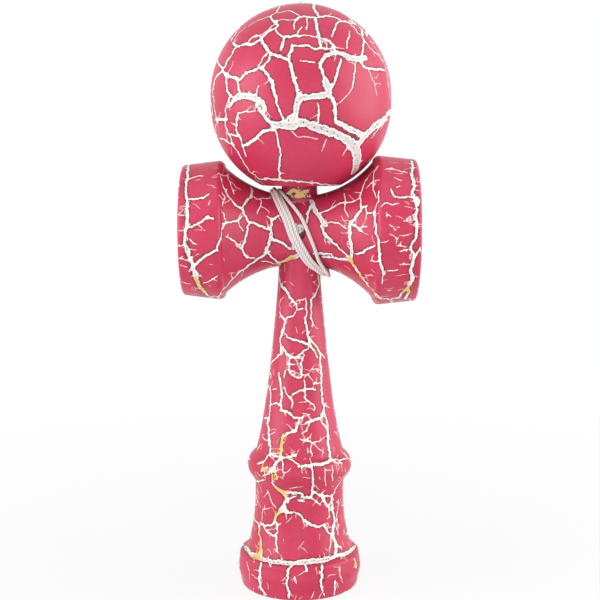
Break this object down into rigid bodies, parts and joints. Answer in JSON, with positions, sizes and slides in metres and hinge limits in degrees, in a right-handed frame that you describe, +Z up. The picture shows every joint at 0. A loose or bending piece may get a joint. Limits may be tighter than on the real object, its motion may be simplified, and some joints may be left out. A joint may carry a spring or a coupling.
{
  "type": "kendama",
  "caption": "Turned wooden cup-and-ball toy in red crackle lacquer: spindle with base cup and spike, crosspiece with cups, bored ball on the spike, string wound round the waist.",
  "frame": {"origin": "middle of the flat ring of the base cup that the toy stands on", "axes": "+Z up along the spindle, +X along the crosspiece towards its big cup, the string hole's front mouth faces -Y"},
  "size_m": [0.0782, 0.0614, 0.1986],
  "materials": {
    "lacquered_wood": "semi-gloss red crackle lacquer over an off-white ground",
    "bead_wood": "bare turned wood",
    "string": "off-white twisted cord"
  },
  "bodies": {
    "ken": {"ken": "lacquered_wood", "sarado": "lacquered_wood", "sarado_knot": "string", "string_lead": "string", "string_winding": "string"},
    "bead": {"bead": "bead_wood", "bead_knot": "string", "string_ball_run": "string"},
    "ball": {"ball": "lacquered_wood"}
  },
  "joints": [
    {"name": "ball_lift", "type": "slide", "parent": "ken", "child": "bead", "axis": [0, 0, 1], "range_m": [0, 0.05], "deforming": ["string_ball_run"]},
    {"name": "ball_spin", "type": "hinge", "parent": "bead", "child": "ball", "pos_m": [0.0005, 0, 0.1658], "axis": [0, 0, 1], "continuous": true}
  ]
}
